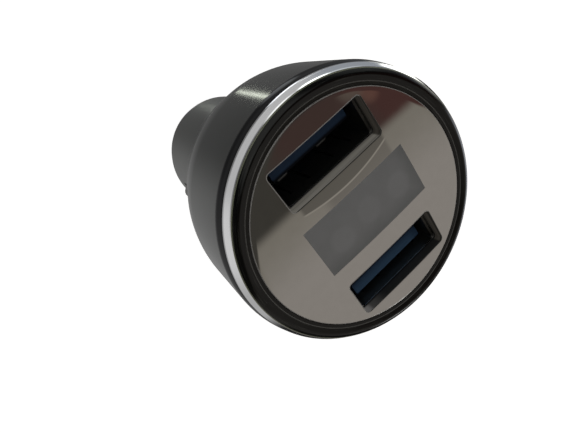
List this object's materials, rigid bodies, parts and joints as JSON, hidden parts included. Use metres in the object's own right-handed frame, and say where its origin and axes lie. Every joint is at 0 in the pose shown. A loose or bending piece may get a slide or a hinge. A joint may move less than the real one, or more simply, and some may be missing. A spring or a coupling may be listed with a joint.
{
  "type": "usb car charger with voltmeter",
  "caption": "Round charger plug for a vehicle's power socket, with a mirrored face that holds charging ports and a voltmeter window.",
  "frame": {"origin": "on the plug's axis at the shoulder where the barrel meets the back of the head", "axes": "+Z along the plug's axis out of the face, +X along the port slots, +Y towards the upper port"},
  "size_m": [0.0326, 0.0326, 0.057],
  "materials": {
    "head": "satin dark grey",
    "trim": "polished",
    "bezel": "glossy black",
    "lens": "clear polished plastic",
    "mirror": "mirror film",
    "smoke": "smoked",
    "display": "matte",
    "display_bars": "frosted",
    "frame": "matte black",
    "port_shell": "plated sheet",
    "port_blue": "moulded blue",
    "contact": "gold plated",
    "board": "solder resist",
    "chip": "moulded epoxy",
    "steel": "plated",
    "ferrite": "sintered",
    "copper": "enamelled wire",
    "can": "sleeved can",
    "brass": "plain",
    "barrel": "satin dark grey",
    "nose": "matte black",
    "spring_metal": "nickel plated"
  },
  "bodies": {
    "housing": {"head_shell": "head", "trim_ring": "trim", "bezel_ring": "bezel", "face_lens": "lens", "mirror_film": "mirror", "port_frame": "frame", "display_filter": "smoke", "display_module": "display", "display_segments": "display_bars", "display_pins": "steel", "port_board": "board", "board_screws": "steel", "voltmeter_chip": "chip", "link_pins": "brass", "converter_board": "board", "regulator_chip": "chip", "inductor_core": "ferrite", "inductor_winding": "copper", "input_capacitor": "can", "output_capacitor": "can", "rectifier_diode": "chip", "chip_parts": "chip", "barrel": "barrel", "nose_cap": "nose", "tip_spring": "steel", "spring_plate": "brass", "usb_shell_upper": "port_shell", "usb_shell_lower": "port_shell", "usb_insulator_upper": "port_blue", "usb_insulator_lower": "port_blue", "usb_contacts_upper": "contact", "usb_contacts_lower": "contact"},
    "tip": {"centre_tip": "spring_metal"},
    "right_contact": {"ground_contact_right": "spring_metal"},
    "left_contact": {"ground_contact_left": "spring_metal"}
  },
  "joints": [
    {"name": "tip_press", "type": "slide", "parent": "housing", "child": "tip", "axis": [0, 0, 1], "range_m": [0, 0.0025], "stiffness_N_per_m": 400, "springref_m": -0.002, "deforming": ["tip_spring"]},
    {"name": "right_contact_press", "type": "slide", "parent": "housing", "child": "right_contact", "axis": [-1, 0, 0], "range_m": [0, 0.0013], "stiffness_N_per_m": 800, "springref_m": -0.0005},
    {"name": "left_contact_press", "type": "slide", "parent": "housing", "child": "left_contact", "axis": [1, 0, 0], "range_m": [0, 0.0013], "stiffness_N_per_m": 800, "springref_m": -0.0005}
  ]
}
